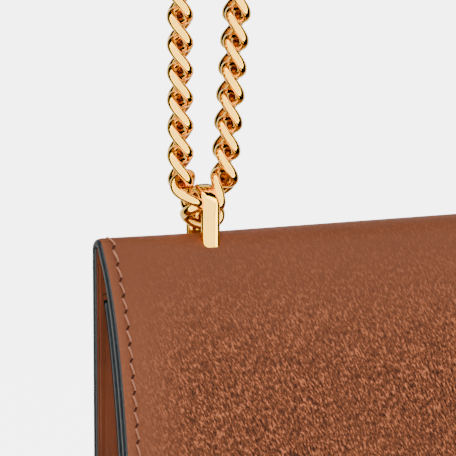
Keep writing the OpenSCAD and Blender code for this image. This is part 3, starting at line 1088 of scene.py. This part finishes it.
def curb_link():
    """One curb link: a broad oval of round wire, its two ends turned opposite ways about its length"""
    half_l, half_w, wire, turns = 3.85, 3.3, 1.1, math.radians(-56)
    steps, sides, power = 40, 12, 2 / 2.6
    line = []
    for k in range(steps):
        a = 2 * math.pi * k / steps
        x = half_w * math.copysign(abs(math.cos(a)) ** power, math.cos(a))
        z = half_l * math.copysign(abs(math.sin(a)) ** power, math.sin(a))
        twist = turns * z / half_l
        line.append(Vector((x * math.cos(twist), x * math.sin(twist), z)))
    points, inner_side_shade = [], []
    for k, p in enumerate(line):
        along = (line[(k + 1) % steps] - line[k - 1]).normalized()
        outwards = Vector((p.x, p.y, p.z * 0.35))
        side = (outwards - along * outwards.dot(along)).normalized()
        up = side.cross(along)
        for m in range(sides):
            a = 2 * math.pi * m / sides
            points.append(p + (side * math.cos(a) + up * math.sin(a)) * wire)
            # Painted shade mask: 1 where the wire's side faces into the link, 0 where it faces out
            inner_side_shade.append(0.5 - 0.5 * math.cos(a))
    return new_piece("link_unit", points, sleeve(steps, sides, closed=True), [], rims=inner_side_shade, sharp=80.0)


class WALLET_OT_chain(Operator):
    """Curb chain strap: every link at its place on the hanging run"""
    bl_idname = "wallet.chain"
    bl_label = "Chain"

    def execute(self, context):
        unit = curb_link()
        for name, nodes, twist in CHAIN_RUNS:
            sideways = Matrix.Rotation(math.radians(twist), 3, "Z") @ Vector((1, 0, 0))
            places = []
            for node in nodes:
                for group in islands(node):
                    middle = (group.max(0) + group.min(0)) / 2
                    along = Vector(np.linalg.eigh(np.cov((group - middle).T))[1][:, 2])
                    in_eye = node == "eye_links"
                    places.append((Vector(middle) - Vector((0, 0, 0.55 if in_eye else 0)), along,
                                   Vector((0, 1, 0.25)) if in_eye else sideways))
            run = repeated(name, places, unit, chain_gold())
            put(run, "strap", "chain_gold", *nodes)
        drop(unit)
        return {"FINISHED"}


# ---------- stitching ----------


def walk(path, pitch, start=0.0):
    """Evenly spaced (point, along, out) on a path of (point, out)"""
    lengths = [0.0]
    for (p, _), (q, _) in zip(path, path[1:]):
        lengths.append(lengths[-1] + (q - p).length)
    places = []
    at = start
    while at < lengths[-1]:
        k = max(1, int(np.searchsorted(lengths, at)))
        f = (at - lengths[k - 1]) / (lengths[k] - lengths[k - 1])
        (p, n), (q, m) = path[k - 1], path[k]
        places.append((p.lerp(q, f), (q - p).normalized(), n.lerp(m, f).normalized()))
        at += pitch
    return places


def skin_path(route, depth):
    """Points of the hide along a route of (x, t), each with the direction out of the leather"""
    path = []
    for x, t in route:
        here, under = skin(x, t, depth), skin(x, t, depth + 1)
        path.append((here, (here - under).normalized()))
    return path


def tilted(places, degrees):
    """Turns each place's direction about its way out of the leather"""
    turned = []
    for point, along, out in places:
        turn = Matrix.Rotation(math.radians(degrees), 3, out)
        turned.append((point, turn @ along, out))
    return turned


def sew(name, places, settle):
    """Thread and needle holes along a seam; settle is handed each finished piece, to attach it to what it
    rides on or bake it in place
    """
    thread = tube_unit("thread_unit", [Vector((0, y, z)) for y, z in (
        (-0.22, -1.32), (0.02, -1.12), (0.15, -0.6), (0.18, 0.0), (0.15, 0.6), (0.02, 1.12), (-0.22, 1.32))],
        8, lambda k: 0.24 if 0 < k < 6 else 0.12, 0.75)
    # Needle holes: flat near-black tubes laid on the leather as painted shade in each cut
    hole = tube_unit("hole_unit", [Vector((0, 0.02, z)) for z in (-0.62, -0.4, 0.0, 0.4, 0.62)],
                     8, lambda k: (0.05, 0.22, 0.28, 0.22, 0.05)[k], 0.35)
    settle(repeated(name + "_thread", tilted(places, 16), thread, waxed_thread()))
    between = [(p + a * STITCH_PITCH / 2, a, n) for p, a, n in places if n.z < 0.7]
    settle(repeated(name + "_holes", tilted(between, -38), hole, needle_hole_shade()))
    drop(thread)
    drop(hole)


class WALLET_OT_stitching(Operator):
    """Seams round the flap, over the ridge, down the back and along the pockets"""
    bl_idname = "wallet.stitching"
    bl_label = "Stitching"

    def execute(self, context):
        sizes = context.scene.wallet_sizes
        end, corner = flap_end_s(), sizes.flap_corner / MM
        line_x, line_end, line_corner = HALF_W - SEAM_IN, end - SEAM_IN, corner - SEAM_IN
        sink = 0.10
        left = [(-line_x, s) for s in spread(JOIN_S + 1, line_end - line_corner, 0.8)]
        turn = [(-(line_x + line_corner * (math.cos(a) - 1)), line_end + line_corner * (math.sin(a) - 1))
                for a in (math.pi / 2 * k / 16 for k in range(17))]
        bottom = [(x, line_end) for x in spread(-(line_x - line_corner) + 1, 0, 2.0)]
        half_route = left + turn + bottom
        route = half_route + [(0.0, line_end)] + [(-x, s) for x, s in reversed(half_route)]
        sew("flap_seam", walk(skin_path(route, sink), STITCH_PITCH), lambda o: fold(o, "tan_leather"))

        foot = -(ARC + BACK_L) + SEAM_IN
        for side, name in ((-1, "left"), (1, "right")):
            rows = spread(JOIN_S + 0.6, -ARC, 0.5) + spread(-ARC, foot, 2.0)
            path = skin_path([(side * line_x, t) for t in rows], sink)
            sew(name + "_back_seam", walk(path, STITCH_PITCH), lambda o: put(o, "case", "tan_leather"))
        path = skin_path([(x, foot) for x in spread(-line_x + 2, line_x - 2, 3.0)], sink)
        sew("back_foot_seam", walk(path, STITCH_PITCH), lambda o: put(o, "case", "tan_leather"))

        front_half = FRONT_HALF_W - SEAM_IN
        foot_s = front_foot_s() - SEAM_IN
        top_s = FRONT_TOP_S + SEAM_IN
        route = [(-front_half, s) for s in spread(foot_s, top_s, 1.5)]
        route += [(x, top_s) for x in spread(-front_half, front_half, 3.0)]
        route += [(front_half, s) for s in spread(top_s, foot_s, 1.5)]
        sew("front_wall_seam", walk(skin_path(route, FRONT_DEPTH + sink), STITCH_PITCH),
            lambda o: put(o, "front_wall", "tan_leather"))
        self.sew_pockets()
        return {"FINISHED"}

    def sew_pockets(self):
        """Seams along the card strips' top edges and down the middle between the two columns"""
        front = Vector((0, -1, 0))
        for node in card_nodes():
            low, high = box_mm(node)
            z, y = high.z - SEAM_IN, low.y + 0.05
            path = [(Vector((x, y, z)), front) for x in (low.x + 2, high.x - 2)]
            sew(node + "_seam", walk(path, STITCH_PITCH), lambda o: put(o, "case", "brown_lining"))
        low, high = box_mm("card_front_pocket")
        path = [(Vector((0, low.y + 0.02, high.z - 1)), front), (Vector((0, low.y + 0.02, low.z + 2)), front)]
        sew("card_middle_seam", walk(path, STITCH_PITCH), lambda o: put(o, "case", "brown_lining"))


# ---------- stage ----------


def area_light(name, place, target, size, power):
    lamp = bpy.data.lights.new(name, "AREA")
    lamp.shape, lamp.size, lamp.size_y = "RECTANGLE", size[0], size[1]
    lamp.energy = power
    made = bpy.data.objects.new(name, lamp)
    made.location = place
    made.rotation_euler = (Vector(target) - Vector(place)).to_track_quat("-Z", "Y").to_euler()
    bpy.context.scene.collection.objects.link(made)


def reflector(name, centre, axis, start, end, radiance):
    """Part of a sphere that only shows in reflections, between two angles in degrees from an axis"""
    radius, rings, around = 0.62, 9, 48
    side = axis.orthogonal().normalized()
    up = axis.cross(side)
    points = []
    for k in range(rings):
        a = math.radians(start + (end - start) * k / (rings - 1))
        for m in range(around):
            b = 2 * math.pi * m / around
            outwards = side * math.cos(b) + up * math.sin(b)
            points.append(centre + radius * (axis * math.cos(a) + outwards * math.sin(a)))
    mesh = bpy.data.meshes.new(name)
    mesh.from_pydata(points, [], sleeve(rings, around))
    card = bpy.data.objects.new(name, mesh)
    card.visible_camera = card.visible_diffuse = card.visible_shadow = card.visible_transmission = False
    p = Paint(name, Roughness=1.0, Specular_IOR_Level=0.0, Emission_Strength=radiance,
              Emission_Color=(1, 1, 1, 1), Base_Color=(0, 0, 0, 1))
    mesh.materials.append(p.material)
    bpy.context.scene.collection.objects.link(card)


class WALLET_OT_stage(Operator):
    """Pale floor, soft studio light and the camera"""
    bl_idname = "wallet.stage"
    bl_label = "Stage"

    def execute(self, context):
        scene = context.scene
        view = scene.wallet_view
        foot = Vector((-STAPLE_X, STAPLE_LOW.y, RIDGE_TOP - 2.4)) * MM
        self.camera(scene, view, foot)
        mesh = bpy.data.meshes.new("floor")
        far, gap = 9, 0.05
        z = BACK_LOW.z * MM - gap
        mesh.from_pydata([(-far, -far, z), (far, -far, z), (far, far, z), (-far, far, z)], [], [(0, 1, 2, 3)])
        p = Paint("pale_floor", Roughness=0.9, Specular_IOR_Level=0.0, Base_Color=(0.9, 0.9, 0.9, 1),
                  Emission_Color=(1, 1, 1, 1), Emission_Strength=view.backdrop)
        mesh.materials.append(p.material)
        floor = bpy.data.objects.new("floor", mesh)
        floor.visible_diffuse = floor.visible_glossy = False
        scene.collection.objects.link(floor)
        world = bpy.data.worlds.new("studio")
        world.use_nodes = True
        world.node_tree.nodes["Background"].inputs[0].default_value = (1.0, 1.0, 1.0, 1)
        world.node_tree.nodes["Background"].inputs[1].default_value = view.ambient
        scene.world = world
        area_light("key_light", foot + Vector((-0.75, -0.75, 0.45)), foot, (0.5, 0.5), 4.5)
        area_light("fill_light", foot + Vector((0.8, -0.7, 0.2)), foot, (0.4, 0.7), 2.6)
        area_light("rim_light", foot + Vector((-0.7, 0.6, 0.45)), foot, (0.3, 0.6), 3.0)
        towards = self.away(view)
        for name, start, end, radiance in (("front_card", 2, 62, 4.6), ("bright_ring", 63, 72, 9.0),
                                           ("dark_ring", 73, 115, 0.0), ("back_card", 116, 178, 1.6)):
            reflector(name, foot, towards, start, end, radiance)
        return {"FINISHED"}

    def away(self, view):
        """Direction from the wallet to the camera"""
        a, e = view.azimuth, view.elevation
        return Vector((math.sin(a) * math.cos(e), -math.cos(a) * math.cos(e), math.sin(e)))

    def camera(self, scene, view, foot):
        away = self.away(view)
        right = Vector((math.cos(view.azimuth), math.sin(view.azimuth), 0))
        up = away.cross(right)
        target = foot + right * view.aside + up * view.above
        lens = bpy.data.cameras.new("camera")
        lens.lens, lens.sensor_width = view.lens, 36.0
        lens.clip_start = 0.01
        made = bpy.data.objects.new("camera", lens)
        made.matrix_world = Matrix.Translation(target + away * view.distance) @ Matrix(
            (right, up, away)).transposed().to_4x4()
        scene.collection.objects.link(made)
        scene.camera = made


# ---------- properties, panel and run ----------


class WalletSizes(PropertyGroup):
    """Sizes of the leather parts that can be changed without changing the frame"""
    flap_corner: FloatProperty(name="Flap corner", description="Radius of the flap's lower corners",
                               default=14 * MM, min=5 * MM, max=25 * MM, unit="LENGTH")
    gusset_fold: FloatProperty(name="Gusset fold", description="How deep the bellows fold in",
                               default=7.6 * MM, min=4 * MM, max=10 * MM, unit="LENGTH")


class WalletColors(PropertyGroup):
    """Colours of the wallet's materials"""
    leather: FloatVectorProperty(name="Leather", description="Grained calf", subtype="COLOR",
                                 size=3, default=(0.285, 0.084, 0.033))
    lining: FloatVectorProperty(name="Lining", description="Smooth lining and gussets", subtype="COLOR",
                                size=3, default=(0.25, 0.062, 0.018))
    edge: FloatVectorProperty(name="Edge paint", description="Painted cut edges", subtype="COLOR",
                              size=3, default=(0.008, 0.011, 0.012))
    thread: FloatVectorProperty(name="Thread", description="Sewing thread", subtype="COLOR",
                                size=3, default=(0.62, 0.235, 0.125))
    gold: FloatVectorProperty(name="Gold", description="Plating of the chain and staples", subtype="COLOR",
                              size=3, default=(0.92, 0.50, 0.04))


class WalletView(PropertyGroup):
    """Camera and light"""
    azimuth: FloatProperty(name="Azimuth", description="Turn of the view about the upright axis",
                           default=math.radians(-29), subtype="ANGLE")
    elevation: FloatProperty(name="Elevation", description="Height of the view above level",
                             default=math.radians(7.5), subtype="ANGLE")
    distance: FloatProperty(name="Distance", description="Camera to the aimed point", default=0.53,
                            unit="LENGTH")
    lens: FloatProperty(name="Lens", description="Focal length in millimetres", default=197.0)
    aside: FloatProperty(name="Aside", description="Aimed point right of the left staple's front foot",
                         default=3.2 * MM, unit="LENGTH")
    above: FloatProperty(name="Above", description="Aimed point above the left staple's front foot",
                         default=3.8 * MM, unit="LENGTH")
    ambient: FloatProperty(name="Ambient", description="Strength of the even studio light", default=0.58)
    backdrop: FloatProperty(name="Backdrop", description="Brightness of the pale floor", default=5.0)


PIECES = (WALLET_OT_stage, WALLET_OT_ridge_hide, WALLET_OT_flap, WALLET_OT_front_wall, WALLET_OT_base,
          WALLET_OT_back_lining, WALLET_OT_gussets, WALLET_OT_card_side, WALLET_OT_divider, WALLET_OT_zip,
          WALLET_OT_fittings, WALLET_OT_staples, WALLET_OT_chain, WALLET_OT_stitching)


class WALLET_PT_panel(Panel):
    """Lists the wallet's sizes, colours and pieces"""
    bl_label = "Chain wallet"
    bl_idname = "WALLET_PT_panel"
    bl_space_type = "VIEW_3D"
    bl_region_type = "UI"
    bl_category = "Wallet"

    def draw(self, context):
        for group in (context.scene.wallet_sizes, context.scene.wallet_colors, context.scene.wallet_view):
            for key in group.__annotations__:
                self.layout.prop(group, key)
        for piece in PIECES:
            self.layout.operator(piece.bl_idname)


GROUPS = (("wallet_sizes", WalletSizes), ("wallet_colors", WalletColors), ("wallet_view", WalletView))


def register():
    for _, group in GROUPS:
        bpy.utils.register_class(group)
    for key, group in GROUPS:
        setattr(bpy.types.Scene, key, PointerProperty(type=group))
    for cls in (*PIECES, WALLET_PT_panel):
        bpy.utils.register_class(cls)


def unregister():
    for cls in (WALLET_PT_panel, *reversed(PIECES)):
        bpy.utils.unregister_class(cls)
    for key, group in reversed(GROUPS):
        delattr(bpy.types.Scene, key)
        bpy.utils.unregister_class(group)


def main():
    register()
    for piece in PIECES:
        group, name = piece.bl_idname.split(".")
        getattr(getattr(bpy.ops, group), name)()


if __name__ == "__main__":
    main()
